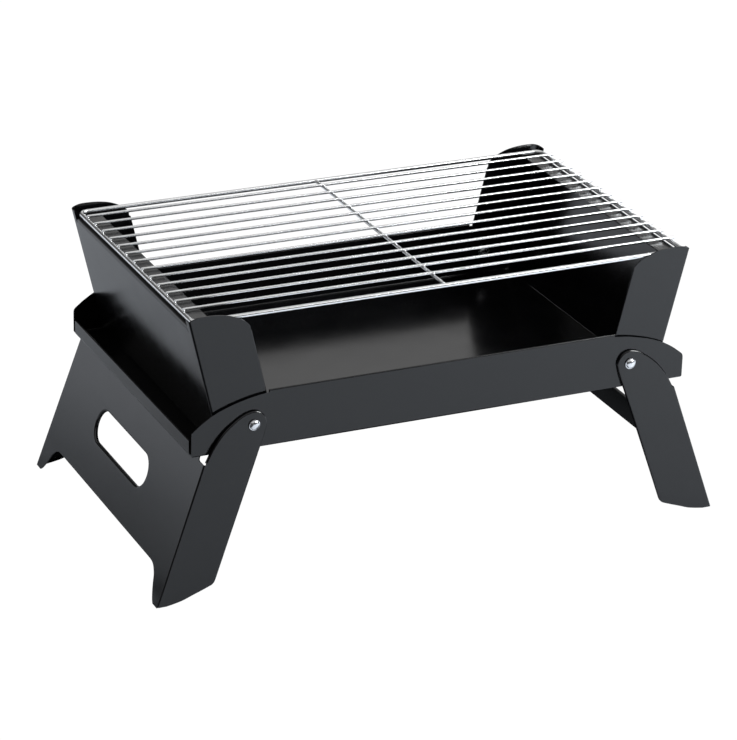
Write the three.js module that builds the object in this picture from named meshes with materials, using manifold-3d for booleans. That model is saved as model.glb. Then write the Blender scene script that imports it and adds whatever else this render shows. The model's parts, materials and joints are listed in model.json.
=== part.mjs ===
// Folding camp grill: a shallow fire tray with two hinged end panels that
// carry the wire cooking rack, and two U-shaped legs that fold underneath.
// Millimetres, +X along the length, +Y to the back, +Z up.  The origin is on
// the ground plane at the centre of the footprint.
import * as THREE from 'three';
import { mergeVertices } from 'three/addons/utils/BufferGeometryUtils.js';
import Module from 'manifold-3d';

// ---------------------------------------------------------------- dimensions
const T = 1.0;                 // sheet thickness
const GAP = 0.3;               // running gap between touching pieces

// tray
const TRAY_X = 225;            // outer face of the end lips
const WALL_X = 224.5;          // end edge of the long walls
const WALL_Y = 140.4;          // outer face of the long walls
const TRAY_Z0 = 124.7;         // underside of the tray floor
const HEM_TOP = 174.4;         // top of the hemmed straight edge
const HEM_X = 157.5;           // half length of the hem
const HEM_T = 2.1;             // hem thickness
const WALL_TOP = 172.2;        // wall height where the hem stops
const LIP_TOP = 138.3;         // top of the end lips
const LIP_Y = 134.8;           // half length of the end lips
const BEND = 2.4;              // outer bend radius

// pivots shared by an end panel and a leg
const PX = 171.8, PZ = 147.1;
const HOLE_R = 2.8, SHANK_R = 2.5;

// end panels, in a frame centred on the pivot and leaning outwards
const LEAN = 13.5 * Math.PI / 180;
const END_A = 30.8;            // pivot to the outer face
const END_B0 = -14.3;          // bottom edge
const STRIP_B = 104.6;         // top of the corner strips
const WING_Y = 138.0;          // outer face of the wings
const WING_IN = -18.5;         // inner edge of the wings
const WING_R = 20.0;           // rounded lower end, concentric with the pivot
const NOTCH_Y = 130;           // half width of the rack seat
const SEAT_Z = 237.6;          // top of the rack seat flange
const SEAT_R = 5.3;            // rolled shoulder
const SEAT_X = 204;            // inner edge of the seat flange

// legs, in a frame centred on the pivot: s down the leg, p outwards
const SPLAY = 19.5 * Math.PI / 180;
const LEG_P = 32.2;            // pivot to the outer face of the leg panel
const LEG_S = 167.5;           // pivot to the sole corner
const LEG_Y = 143.8;           // outer face of the flanges at the pivot
const LEG_LIP = 2.9;           // depth of the turned-in rim round each flange
const FLARE = 5.4;             // how far a flange stands out at the foot
const PANEL_TOP = 35.2, PANEL_RELIEF = 41.3, PANEL_BOTTOM = 140;
const SLOT_S = 89.1, SLOT_R = 14.4, SLOT_Y = 58.0, SLOT_C = 3.5, SLOT_RIM = 3.0;

// rack
const RACK_Z = 239.9, FRAME_R = 2.0, FRAME_X = 221.4, FRAME_Y = 132.3, FRAME_CORNER = 7, RACK_Y = -2.3;
const WIRE_R = 1.25, WIRES = 13;

// ------------------------------------------------------------------- helpers
const wasm = await Module();
wasm.setup();

function solid(geometry) {
  const g = geometry.clone();
  for (const name of Object.keys(g.attributes)) if (name !== 'position') g.deleteAttribute(name);
  const m = mergeVertices(g, 1e-4);
  return new wasm.Manifold(new wasm.Mesh({
    numProp: 3,
    vertProperties: new Float32Array(m.attributes.position.array),
    triVerts: new Uint32Array(m.index.array),
  }));
}

function geometryOf(body) {
  const mesh = body.getMesh();
  const g = new THREE.BufferGeometry();
  const n = mesh.vertProperties.length / mesh.numProp;
  const pos = new Float32Array(n * 3);
  for (let i = 0; i < n; i++) {
    for (let k = 0; k < 3; k++) pos[3 * i + k] = mesh.vertProperties[i * mesh.numProp + k];
  }
  g.setAttribute('position', new THREE.BufferAttribute(pos, 3));
  g.setIndex(new THREE.BufferAttribute(new Uint32Array(mesh.triVerts), 1));
  const flat = g.toNonIndexed();
  flat.computeVertexNormals();
  return flat;
}

const union = (...parts) => parts.reduce((a, b) => a.add(b));

function shapeOf(points) {
  const s = new THREE.Shape();
  points.forEach((p, i) => (i ? s.lineTo(p[0], p[1]) : s.moveTo(p[0], p[1])));
  s.closePath();
  return s;
}

function arc(cx, cy, r, a0, a1, n) {
  const out = [];
  for (let i = 0; i <= n; i++) {
    const a = (a0 + (a1 - a0) * i / n) * Math.PI / 180;
    out.push([cx + r * Math.cos(a), cy + r * Math.sin(a)]);
  }
  return out;
}

function counterClockwise(points) {
  let a = 0;
  points.forEach((p, i) => {
    const q = points[(i + 1) % points.length];
    a += p[0] * q[1] - q[0] * p[1];
  });
  return a < 0 ? points.slice().reverse() : points;
}

// outline moved inwards by d, corner by corner
function inset(points, d) {
  const p = counterClockwise(points), n = p.length;
  return p.map((q, i) => {
    const a = p[(i + n - 1) % n], b = p[(i + 1) % n];
    const u = [q[0] - a[0], q[1] - a[1]], v = [b[0] - q[0], b[1] - q[1]];
    const lu = Math.hypot(...u), lv = Math.hypot(...v);
    const nu = [-u[1] / lu, u[0] / lu], nv = [-v[1] / lv, v[0] / lv];
    const m = [nu[0] + nv[0], nu[1] + nv[1]], k = 2 * d / (m[0] ** 2 + m[1] ** 2);
    return [q[0] + m[0] * k, q[1] + m[1] * k];
  });
}

// outline in XZ, swept along Y
function plateXZ(points, y0, y1) {
  const g = new THREE.ExtrudeGeometry(shapeOf(counterClockwise(points)), { depth: y1 - y0, bevelEnabled: false, steps: 1 });
  g.rotateX(Math.PI / 2);
  g.translate(0, y1, 0);
  return solid(g);
}

// outline in YZ, swept along X
function plateYZ(points, x0, x1) {
  const g = new THREE.ExtrudeGeometry(shapeOf(counterClockwise(points)), { depth: x1 - x0, bevelEnabled: false, steps: 1 });
  g.applyMatrix4(new THREE.Matrix4().set(0, 0, 1, x0, 1, 0, 0, 0, 0, 1, 0, 0, 0, 0, 0, 1));
  return solid(g);
}

function box(x0, x1, y0, y1, z0, z1) {
  const g = new THREE.BoxGeometry(x1 - x0, y1 - y0, z1 - z0);
  g.translate((x0 + x1) / 2, (y0 + y1) / 2, (z0 + z1) / 2);
  return solid(g);
}

function rodY(x, z, r, y0, y1, n = 24) {
  const g = new THREE.CylinderGeometry(r, r, y1 - y0, n);
  g.translate(x, (y0 + y1) / 2, z);
  return solid(g);
}

// mirrored copy of an outline in its first coordinate
const flip = (points) => points.map((p) => [-p[0], p[1]]);

const paint = { color: 0x1b1b1d, roughness: 0.32, metalness: 0.1 };
const chrome = { color: 0xc9cacc, roughness: 0.18, metalness: 1.0 };
const zinc = { color: 0xa9abb0, roughness: 0.3, metalness: 1.0 };
const nylon = { color: 0x202022, roughness: 0.6, metalness: 0.0 };

const grill = new THREE.Group();
grill.name = 'folding_camp_grill';

function put(name, geometry, look) {
  const mesh = new THREE.Mesh(geometry, new THREE.MeshStandardMaterial(look));
  mesh.name = name;
  grill.add(mesh);
  return mesh;
}

// ---------------------------------------------------------------------- tray
// long wall outline: hem height in the middle, then a falling curve to the end
const wallCurve = [
  [HEM_X, WALL_TOP], [166, 171.3], [175, 169.7], [187.4, 166.6], [197, 163.4],
  [205, 160.0], [214, 154.6], [220, 150.2], [223.2, 147.6], [224.2, 146.2], [WALL_X, 144.4],
];
const wallOutline = [
  [-WALL_X, TRAY_Z0 + 1.2], [-WALL_X + 1.2, TRAY_Z0], [WALL_X - 1.2, TRAY_Z0], [WALL_X, TRAY_Z0 + 1.2],
  ...wallCurve.slice().reverse(), ...flip(wallCurve),
];
{
  const channel = counterClockwise([
    [-WALL_Y, 190], [-WALL_Y, TRAY_Z0 + BEND], ...arc(-WALL_Y + BEND, TRAY_Z0 + BEND, BEND, 180, 270, 4).slice(1, -1), [-WALL_Y + BEND, TRAY_Z0],
    [WALL_Y - BEND, TRAY_Z0], ...arc(WALL_Y - BEND, TRAY_Z0 + BEND, BEND, 270, 360, 4).slice(1, -1), [WALL_Y, TRAY_Z0 + BEND], [WALL_Y, 190],
    [WALL_Y - T, 190], [WALL_Y - T, TRAY_Z0 + BEND], ...arc(WALL_Y - BEND, TRAY_Z0 + BEND, BEND - T, 360, 270, 3).slice(1, -1), [WALL_Y - BEND, TRAY_Z0 + T],
    [-WALL_Y + BEND, TRAY_Z0 + T], ...arc(-WALL_Y + BEND, TRAY_Z0 + BEND, BEND - T, 270, 180, 3).slice(1, -1), [-WALL_Y + T, TRAY_Z0 + BEND], [-WALL_Y + T, 190],
  ]);
  let tray = plateYZ(channel, -WALL_X, WALL_X).intersect(plateXZ(wallOutline, -160, 160));
  // hems: the sheet turned inwards along the straight top edges
  for (const s of [-1, 1]) {
    const yo = s * WALL_Y, yi = s * (WALL_Y - HEM_T), ym = (yo + yi) / 2, r = HEM_T / 2;
    const hem = [[yo, 169.6], ...arc(ym, HEM_TOP - r, r, s > 0 ? 0 : 180, s > 0 ? 180 : 0, 6), [yi, 169.6]];
    tray = tray.add(plateYZ(hem, -HEM_X, HEM_X));
  }
  // end lips folded up from the floor, short of the long walls at each corner
  for (const s of [-1, 1]) {
    const xo = TRAY_X, c = TRAY_X - BEND;
    const lip = [
      [c - 1.4, TRAY_Z0], ...arc(c, TRAY_Z0 + BEND, BEND, 270, 360, 4), [xo, LIP_TOP - 1.0],
      ...arc(xo - 1.0, LIP_TOP - 1.0, 1.0, 0, 180, 6).slice(1), [xo - 2.0, LIP_TOP - 5.0], [xo - T, LIP_TOP - 5.0],
      [xo - T, TRAY_Z0 + BEND], ...arc(c, TRAY_Z0 + BEND, BEND - T, 360, 270, 3).slice(1), [c - 1.4, TRAY_Z0 + T],
    ];
    tray = tray.subtract(box(Math.min(s * (c - 1.4), s * 300), Math.max(s * (c - 1.4), s * 300), -LIP_Y - 2.9, LIP_Y + 2.9, 120, TRAY_Z0 + T + 0.02));
    tray = tray.add(plateXZ(s > 0 ? lip : flip(lip), -LIP_Y, LIP_Y));
  }
  for (const s of [-1, 1]) tray = tray.subtract(rodY(s * PX, PZ, HOLE_R, -160, 160));
  put('fire_tray', geometryOf(tray), paint);
}

// ----------------------------------------------------------------- end panels
const ca = Math.cos(LEAN), sa = Math.sin(LEAN);
const leanToWorld = (a, b) => [PX + a * ca + b * sa, PZ - a * sa + b * ca];
const worldToLean = (x, z) => [(x - PX) * ca - (z - PZ) * sa, (x - PX) * sa + (z - PZ) * ca];

const wingTop = [
  [END_A, STRIP_B], [28.5, 105.3], [25.2, 105.7], [21.5, 105.5], [18.2, 104.9], [11.4, 103.2], [4.3, 100.8],
  [-2.7, 97.6], [-8.9, 93.5], [-14.0, 88.9], [-16.8, 85.6], [-18.1, 83.0], [WING_IN, 79.5],
];
{
  const t0 = Math.atan2(-19.45, 4.67) * 180 / Math.PI, t1 = -180 + Math.asin(Math.sqrt(WING_R ** 2 - WING_IN ** 2) / WING_R) * 180 / Math.PI;
  const wing = [...wingTop, ...arc(0, 0, WING_R, t1, t0, 6), [END_A, END_B0]].map((p) => leanToWorld(...p));
  // panel section with the rolled shoulder and the horizontal seat flange
  const shoulderTop = SEAT_Z, cz = shoulderTop - SEAT_R;
  // shoulder centre: SEAT_R inside the leaning outer face at height cz
  const xFace = (z) => PX + (END_A - (z - PZ) * -sa) / ca; // x of the outer face at height z
  const cx = xFace(cz) - SEAT_R / ca;
  const a0 = -LEAN * 180 / Math.PI;
  const seat = [
    leanToWorld(END_A, 60), ...arc(cx, cz, SEAT_R, a0, 90, 8), [SEAT_X, SEAT_Z], [SEAT_X, SEAT_Z - T],
    ...arc(cx, cz, SEAT_R - T, 90, a0, 7), leanToWorld(END_A - T, 60),
  ];
  const panel = [leanToWorld(END_A, END_B0), leanToWorld(END_A, 62), leanToWorld(END_A - T, 62), leanToWorld(END_A - T, END_B0)];
  const strip = [leanToWorld(END_A, 60), leanToWorld(END_A, STRIP_B), leanToWorld(END_A - T, STRIP_B), leanToWorld(END_A - T, 60)];
  let end = plateXZ(panel, -WING_Y, WING_Y);
  end = end.add(plateXZ(seat, -NOTCH_Y, NOTCH_Y));
  for (const s of [-1, 1]) {
    const lo = s > 0 ? NOTCH_Y : -WING_Y, hi = s > 0 ? WING_Y : -NOTCH_Y;
    end = end.add(plateXZ(strip, lo, hi));
    end = end.add(plateXZ(wing, s > 0 ? WING_Y - T : -WING_Y, s > 0 ? WING_Y : -WING_Y + T));
  }
  end = end.subtract(rodY(PX, PZ, HOLE_R, -160, 160));
  put('end_panel_right', geometryOf(end), paint);
  put('end_panel_left', geometryOf(end.mirror([1, 0, 0])), paint);
}

// ----------------------------------------------------------------------- legs
const cs = Math.cos(SPLAY), ss = Math.sin(SPLAY);
const legToWorld = (s, p) => [PX + s * ss + p * cs, PZ - s * cs + p * ss];
{
  // flange outline (s, p): rounded head round the rivet, big outer arc, sole
  const flange = [
    [PANEL_RELIEF, LEG_P], [36.5, 32.0], [31.7, 30.9], [24, 28.9], [16, 26.0], [9, 22.5], [2.5, 18.2], [-3.2, 13.6], [-7.8, 9.8],
    ...arc(0, 0, 11.6, 142, 262, 9),
    [7, -12.0], [18, -11.9], [50, -11.6], [100, -11.3], [135.5, -11.2], [138.6, -10.3], [141.2, -7.9],
    [146.2, -2.2], [151.3, 4.2], [157.2, 11.4], [161.5, 18.2], [LEG_S, LEG_P],
  ];
  // sole: the last stretch of the flange is level with the ground
  const sole = (p) => LEG_S + (p - LEG_P) * Math.tan(SPLAY);
  const outline = flange.map(([s, p]) => (s > 150 ? [Math.min(s, sole(p)), p] : [s, p]));
  outline.splice(outline.length - 1, 0, [sole(24.0), 24.0]);
  const pts = outline.map((q) => legToWorld(...q));

  const plate = (s0, s1, p0, p1) => [legToWorld(s0, p0), legToWorld(s1, p0), legToWorld(s1, p1), legToWorld(s0, p1)];
  let leg = plateXZ(plate(PANEL_RELIEF, LEG_S, LEG_P - T, LEG_P), -LEG_Y, LEG_Y);
  leg = leg.add(plateXZ(plate(PANEL_TOP, PANEL_RELIEF + 1, LEG_P - T, LEG_P), -131, 131));
  const rim = plateXZ(pts, LEG_Y - LEG_LIP, LEG_Y - T / 2).subtract(plateXZ(inset(pts, T), 100, 200));
  for (const s of [-1, 1]) {
    leg = leg.add(plateXZ(pts, s > 0 ? LEG_Y - T : -LEG_Y, s > 0 ? LEG_Y : -LEG_Y + T));
    leg = leg.add(s > 0 ? rim : rim.mirror([0, 1, 0]));
  }
  // everything below is cut or joined in a frame where the leg panel is upright:
  // X = p, Z = -s, so a turn by the splay about the pivot brings it to place
  const turn = (b) => b.rotate([0, -19.5, 0]).translate([PX, 0, PZ]);
  // bottom edge between the feet
  const foot = [[-133.5, -200], [-133.5, -LEG_S], [-130.5, -164.6], [-126.5, -159.2], [-123.2, -153.2], [-120.2, -147.2], [-115.2, -142.4], [-106, -PANEL_BOTTOM],
    [106, -PANEL_BOTTOM], [115.2, -142.4], [120.2, -147.2], [123.2, -153.2], [126.5, -159.2], [130.5, -164.6], [133.5, -LEG_S], [133.5, -200]];
  leg = leg.subtract(turn(plateYZ(foot, LEG_P - 3, LEG_P + 3)));
  // hand slot with its rim turned in
  const ring = (r, n) => [...arc(SLOT_C + SLOT_Y - SLOT_R, -SLOT_S, r, -90, 90, n), ...arc(SLOT_C - SLOT_Y + SLOT_R, -SLOT_S, r, 90, 270, n)];
  leg = leg.add(turn(plateYZ(ring(SLOT_R + T, 9), LEG_P - SLOT_RIM, LEG_P - 0.5)));
  leg = leg.subtract(turn(plateYZ(ring(SLOT_R, 9), LEG_P - 8, LEG_P + 4)));
  leg = leg.subtract(rodY(PX, PZ, HOLE_R, -160, 160));
  // flat soles
  leg = leg.subtract(box(0, 400, -200, 200, -50, 0));
  // flare: the flanges stand further out towards the feet
  const flared = leg.warp((v) => {
    const s = (v[0] - PX) * ss - (v[2] - PZ) * cs;
    const k = Math.max(0, Math.min(1, s / LEG_S));
    v[1] *= 1 + FLARE * k / LEG_Y;
  });
  put('leg_right', geometryOf(flared), paint);
  put('leg_left', geometryOf(flared.mirror([1, 0, 0])), paint);
}

// ---------------------------------------------------- rivets and their washers
const corners = [['front_left', -1, -1], ['front_right', 1, -1], ['back_left', -1, 1], ['back_right', 1, 1]];
{
  // profile (radius, distance from the tray's centre plane), closed on the axis
  const profile = [
    [0, 133.9], [2.6, 133.9], [3.5, 134.5], [3.5, 135.7], [SHANK_R, 135.7], [SHANK_R, LEG_Y + GAP],
    [4.8, LEG_Y + 0.3], [4.6, LEG_Y + 1.3], [3.9, LEG_Y + 2.2], [2.7, LEG_Y + 2.8], [1.3, LEG_Y + 3.1], [0, LEG_Y + 3.2],
  ].map(([r, y]) => new THREE.Vector2(r, y));
  const washer = (ri, ro, y0, y1) => {
    const g = new THREE.LatheGeometry([[ri, y0], [ro, y0], [ro, y1], [ri, y1], [ri, y0]].map(([r, y]) => new THREE.Vector2(r, y)), 24);
    return solid(g);
  };
  for (const [tag, sx, sy] of corners) {
    const place = (b) => (sy > 0 ? b : b.mirror([0, 1, 0])).translate([sx * PX, 0, PZ]);
    put(`rivet_${tag}`, geometryOf(place(solid(new THREE.LatheGeometry(profile, 24)))), zinc);
    put(`outer_washer_${tag}`, geometryOf(place(washer(2.8, 6.0, WALL_Y + GAP, LEG_Y - T - GAP))), nylon);
    put(`middle_washer_${tag}`, geometryOf(place(washer(2.8, 6.0, WING_Y + GAP, WALL_Y - T - GAP))), nylon);
    put(`inner_washer_${tag}`, geometryOf(place(washer(2.8, 5.5, 136.0, 136.7))), zinc);
  }
}

// ----------------------------------------------------------------------- rack
{
  // frame wire: four straights and four quarter bends, joined end to end
  const section = (r, n) => shapeOf(arc(0, 0, r, 0, 360 - 360 / n, n - 1));
  const R = FRAME_CORNER;
  const half = (sx) => {
    const path = new THREE.CurvePath();
    const v = (x, y) => new THREE.Vector3(sx * x, RACK_Y + y, RACK_Z);
    const pts = [v(-1, -FRAME_Y), v(FRAME_X - R, -FRAME_Y)];
    for (let i = 1; i <= 5; i++) { const a = (-90 + 18 * i) * Math.PI / 180; pts.push(v(FRAME_X - R + R * Math.cos(a), -FRAME_Y + R + R * Math.sin(a))); }
    pts.push(v(FRAME_X, FRAME_Y - R));
    for (let i = 1; i <= 5; i++) { const a = (18 * i) * Math.PI / 180; pts.push(v(FRAME_X - R + R * Math.cos(a), FRAME_Y - R + R * Math.sin(a))); }
    pts.push(v(-1, FRAME_Y));
    return sweep(pts, FRAME_R, 10);
  };
  put('rack_frame', geometryOf(half(1).add(half(-1))), chrome);
  const pitch = 18.6;
  const wireZ = RACK_Z + FRAME_R + WIRE_R + GAP;
  for (let i = 1; i <= WIRES; i++) {
    const y = RACK_Y + pitch * (i - (WIRES + 1) / 2);
    const g = new THREE.CylinderGeometry(WIRE_R, WIRE_R, 2 * FRAME_X + 3.4, 10);
    g.rotateZ(Math.PI / 2);
    g.translate(1.2, y, wireZ);
    put(`rack_wire_${String(i).padStart(2, '0')}`, g, chrome);
  }
  const cross = new THREE.CylinderGeometry(1.5, 1.5, 2 * (FRAME_Y - FRAME_R - GAP), 10);
  cross.translate(-1.2, RACK_Y, wireZ - WIRE_R - 1.5 - GAP);
  put('rack_cross_wire', cross, chrome);
}

// round wire along a polyline in a horizontal plane, with mitred joints
function sweep(pts, r, n) {
  const pos = [], idx = [];
  const m = pts.length;
  for (let i = 0; i < m; i++) {
    const d0 = i > 0 ? pts[i].clone().sub(pts[i - 1]).normalize() : null;
    const d1 = i < m - 1 ? pts[i + 1].clone().sub(pts[i]).normalize() : null;
    const d = d0 && d1 ? d0.clone().add(d1).normalize() : (d0 || d1);
    const k = d0 && d1 ? 1 / d0.dot(d) : 1;
    const side = new THREE.Vector3(-d.y, d.x, 0).multiplyScalar(k);
    for (let j = 0; j < n; j++) {
      const a = 2 * Math.PI * j / n;
      pos.push(pts[i].x + r * Math.cos(a) * side.x, pts[i].y + r * Math.cos(a) * side.y, pts[i].z + r * Math.sin(a));
    }
  }
  for (let i = 0; i < m - 1; i++) {
    for (let j = 0; j < n; j++) {
      const a = i * n + j, b = i * n + (j + 1) % n, c = a + n, e = b + n;
      idx.push(a, c, b, b, c, e);
    }
  }
  for (let j = 1; j < n - 1; j++) idx.push(0, j, j + 1, (m - 1) * n, (m - 1) * n + j + 1, (m - 1) * n + j);
  const g = new THREE.BufferGeometry();
  g.setAttribute('position', new THREE.BufferAttribute(new Float32Array(pos), 3));
  g.setIndex(idx);
  const b = solid(g);
  return b.volume() < 0 ? solid(flipFaces(g)) : b;
}

function flipFaces(g) {
  const idx = Array.from(g.index.array);
  for (let i = 0; i < idx.length; i += 3) [idx[i + 1], idx[i + 2]] = [idx[i + 2], idx[i + 1]];
  const f = g.clone();
  f.setIndex(idx);
  return f;
}

export default grill;
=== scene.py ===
# Looks for the folding camp grill.  Every piece is rebuilt as a detailed mesh in the CAD frame, in metres.
import bpy, bmesh, json, math
from mathutils import Vector, Matrix
from mathutils.geometry import delaunay_2d_cdt


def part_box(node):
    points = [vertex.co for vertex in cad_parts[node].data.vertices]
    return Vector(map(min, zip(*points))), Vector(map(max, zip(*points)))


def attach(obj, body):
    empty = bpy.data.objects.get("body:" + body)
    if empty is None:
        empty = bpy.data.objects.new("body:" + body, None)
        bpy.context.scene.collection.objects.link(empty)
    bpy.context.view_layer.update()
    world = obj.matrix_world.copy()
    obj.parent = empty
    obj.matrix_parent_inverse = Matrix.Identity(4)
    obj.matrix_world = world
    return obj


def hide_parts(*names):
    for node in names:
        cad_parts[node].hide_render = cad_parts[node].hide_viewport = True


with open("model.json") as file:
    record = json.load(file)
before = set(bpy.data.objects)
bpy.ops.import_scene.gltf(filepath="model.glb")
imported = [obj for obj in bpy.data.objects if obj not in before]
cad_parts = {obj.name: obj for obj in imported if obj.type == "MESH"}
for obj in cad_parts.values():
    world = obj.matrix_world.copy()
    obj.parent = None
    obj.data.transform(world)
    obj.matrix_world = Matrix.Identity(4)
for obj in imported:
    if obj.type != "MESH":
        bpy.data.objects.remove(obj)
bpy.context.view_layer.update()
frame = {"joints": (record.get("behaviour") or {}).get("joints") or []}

MM = 0.001
JOINT = {j["name"]: j for j in frame["joints"]}
PIVOT = JOINT["right_leg_fold"]["pos_m"]
PX, PZ = abs(PIVOT[0]) / MM, PIVOT[2] / MM

# ------------------------------------------------------------------ dimensions (mm), taken from the CAD boxes
def mmbox(node):
    lo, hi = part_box(node)
    return [v / MM for v in lo], [v / MM for v in hi]

_lo, _hi = mmbox("fire_tray")
TRAY_X, WALL_Y, TRAY_Z0, HEM_TOP = _hi[0], _hi[1], _lo[2], _hi[2]
WALL_X = TRAY_X - 0.5
T = 0.95                       # drawn sheet thickness, a hair under the CAD's so folded hems keep a slit
BEND = 2.4
HEM_X, HEM_R, WALL_TOP = 157.5, 1.05, HEM_TOP - 2.2
LIP_TOP, LIP_Y = TRAY_Z0 + 13.6, 134.8
HOLE_R = 2.8

_lo, _hi = mmbox("end_panel_right")
WING_Y = _hi[1]
LEAN = math.radians(13.5)
END_A, END_B0, STRIP_B = 30.8, -14.3, 104.6
WING_IN, WING_R, NOTCH_Y = -18.5, 20.0, 129.4
SEAT_Z, SEAT_R, SEAT_X = TRAY_Z0 + 112.9, 5.3, 204.0

_lo, _hi = mmbox("leg_right")
SPLAY = math.radians(19.5)
LEG_P, LEG_S, LEG_Y = 32.2, 167.5, 143.8
FLARE = _hi[1] - LEG_Y
LEG_LIP = 2.9
HEAD_IN = 0.7                  # the drawn leg heads lie a little closer to the walls
PANEL_TOP, PANEL_RELIEF, PANEL_BOTTOM = 35.2, 41.3, 140.0
SLOT_S, SLOT_R, SLOT_Y, SLOT_C, SLOT_RIM = 89.1, 14.4, 58.0, 3.5, 3.0

_lo, _hi = mmbox("rack_frame")
FRAME_R = (_hi[2] - _lo[2]) / 2
RACK_Z = (_hi[2] + _lo[2]) / 2
RACK_Y = (_hi[1] + _lo[1]) / 2
FRAME_X, FRAME_Y, FRAME_CORNER = _hi[0] - FRAME_R, (_hi[1] - _lo[1]) / 2 - FRAME_R, 7.0
WIRE_R = 1.25


# ------------------------------------------------------------------ small geometry helpers
def arc(cx, cy, r, a0, a1, n):
    return [(cx + r * math.cos(math.radians(a0 + (a1 - a0) * i / n)), cy + r * math.sin(math.radians(a0 + (a1 - a0) * i / n))) for i in range(n + 1)]

def smooth(points, n=4):
    """Catmull-Rom through the points."""
    out = []
    m = len(points)
    for i in range(m - 1):
        p0 = points[max(i - 1, 0)]; p1 = points[i]; p2 = points[i + 1]; p3 = points[min(i + 2, m - 1)]
        for k in range(n):
            t = k / n
            out.append(tuple(0.5 * ((2 * p1[c]) + (-p0[c] + p2[c]) * t + (2 * p0[c] - 5 * p1[c] + 4 * p2[c] - p3[c]) * t * t
                                    + (-p0[c] + 3 * p1[c] - 3 * p2[c] + p3[c]) * t ** 3) for c in range(2)))
    out.append(tuple(points[-1]))
    return out

def area(poly):
    return 0.5 * sum(poly[i][0] * poly[(i + 1) % len(poly)][1] - poly[(i + 1) % len(poly)][0] * poly[i][1] for i in range(len(poly)))

def inside(poly, x, y):
    c = False
    j = len(poly) - 1
    for i in range(len(poly)):
        xi, yi = poly[i]; xj, yj = poly[j]
        if (yi > y) != (yj > y) and x < (xj - xi) * (y - yi) / (yj - yi) + xi:
            c = not c
        j = i
    return c

def offset_open(points, d, left=True):
    """Each point of an open polyline moved sideways by d."""
    out = []
    m = len(points)
    for i, q in enumerate(points):
        a = points[max(i - 1, 0)]; b = points[min(i + 1, m - 1)]
        tx, ty = b[0] - a[0], b[1] - a[1]
        l = math.hypot(tx, ty) or 1.0
        nx, ny = -ty / l, tx / l
        if not left: nx, ny = -nx, -ny
        out.append((q[0] + nx * d, q[1] + ny * d))
    return out

def dedupe(points, eps=1e-4):
    out = []
    for p in points:
        if not out or math.hypot(p[0] - out[-1][0], p[1] - out[-1][1]) > eps:
            out.append(p)
    return out

class Bent:
    """A section line: starts at a point heading along +first axis, and bends by arcs."""
    def __init__(self, x, z, segments, heading=0.0):
        self.seg = []
        s = 0.0
        h = math.radians(heading)
        for kind, *v in segments:
            if kind == "l":
                self.seg.append((s, s + v[0], "l", x, z, h, 0))
                x += v[0] * math.cos(h); z += v[0] * math.sin(h); s += v[0]
            else:
                r, ang = v[0], math.radians(v[1])
                self.seg.append((s, s + r * abs(ang), "a", x, z, h, math.copysign(r, ang)))
                k = math.copysign(1, ang)
                cx, cz = x - k * r * math.sin(h), z + k * r * math.cos(h)
                h2 = h + ang
                x, z = cx + k * r * math.sin(h2), cz - k * r * math.cos(h2)
                h = h2; s += r * abs(ang)
        self.length = s
    def stops(self, n=6):
        out = []
        for a, b, kind, *_ in self.seg:
            if kind == "a":
                out += [a + (b - a) * i / n for i in range(n + 1)]
        return out
    def at(self, s):
        for a, b, kind, x, z, h, r in self.seg:
            if s <= b + 1e-9 or (a, b, kind, x, z, h, r) == self.seg[-1]:
                d = s - a
                if kind == "l":
                    return x + d * math.cos(h), z + d * math.sin(h)
                k = math.copysign(1, r); r = abs(r)
                cx, cz = x - k * r * math.sin(h), z + k * r * math.cos(h)
                h2 = h + k * d / r
                return cx + k * r * math.sin(h2), cz - k * r * math.cos(h2)

def flat_pattern(outer, holes=(), lines=()):
    """Triangles of a flat blank, with the bend lines cut into it."""
    pts, edges = [], []
    def loop(poly, closed=True):
        base = len(pts)
        pts.extend(Vector((p[0], p[1])) for p in poly)
        m = len(poly)
        edges.extend((base + i, base + (i + 1) % m) for i in range(m if closed else m - 1))
    loop(outer)
    for h in holes: loop(h)
    for l in lines: loop(l, False)
    v, _, f, *_ = delaunay_2d_cdt(pts, edges, [], 0, 1e-6)
    tris = []
    for t in f:
        cx = sum(v[i][0] for i in t) / len(t); cy = sum(v[i][1] for i in t) / len(t)
        if inside(outer, cx, cy) and not any(inside(h, cx, cy) for h in holes):
            tris.append(tuple(t))
    return [(p[0], p[1]) for p in v], tris


class Sheet:
    """Collects faces of a sheet's outer skin."""
    def __init__(self):
        self.v, self.f, self.key = [], [], {}
    def vert(self, p):
        k = tuple(round(c * 2e4) for c in p)
        if k not in self.key:
            self.key[k] = len(self.v); self.v.append(p)
        return self.key[k]
    def face(self, pts):
        ids = []
        for p in pts:
            i = self.vert(p)
            if i not in ids: ids.append(i)
        if len(ids) > 2: self.f.append(ids)
    def strip(self, a, b, closed=False):
        m = len(a)
        for i in range(m if closed else m - 1):
            j = (i + 1) % m
            self.face([a[i], a[j], b[j], b[i]])

def finish_mesh(name, verts, faces, outward=None, flip=False):
    me = bpy.data.meshes.new(name)
    me.from_pydata([tuple(c * MM for c in p) for p in verts], [], faces)
    me.validate()
    bm = bmesh.new(); bm.from_mesh(me)
    bmesh.ops.remove_doubles(bm, verts=bm.verts, dist=2e-6)
    # trimmed-off points of the blank belong to no face
    bmesh.ops.delete(bm, geom=[v for v in bm.verts if not v.link_faces], context="VERTS")
    bmesh.ops.recalc_face_normals(bm, faces=bm.faces)
    if outward is not None:
        # an open skin: turn it so that the face nearest the given point looks along the given way
        p, n = Vector(outward[0]) * MM, Vector(outward[1])
        f = min(bm.faces, key=lambda q: (q.calc_center_median() - p).length)
        if f.normal.dot(n) < 0:
            bmesh.ops.reverse_faces(bm, faces=bm.faces)
    bm.to_mesh(me); bm.free()
    ob = bpy.data.objects.new(name, me)
    bpy.context.scene.collection.objects.link(ob)
    return ob

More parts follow.
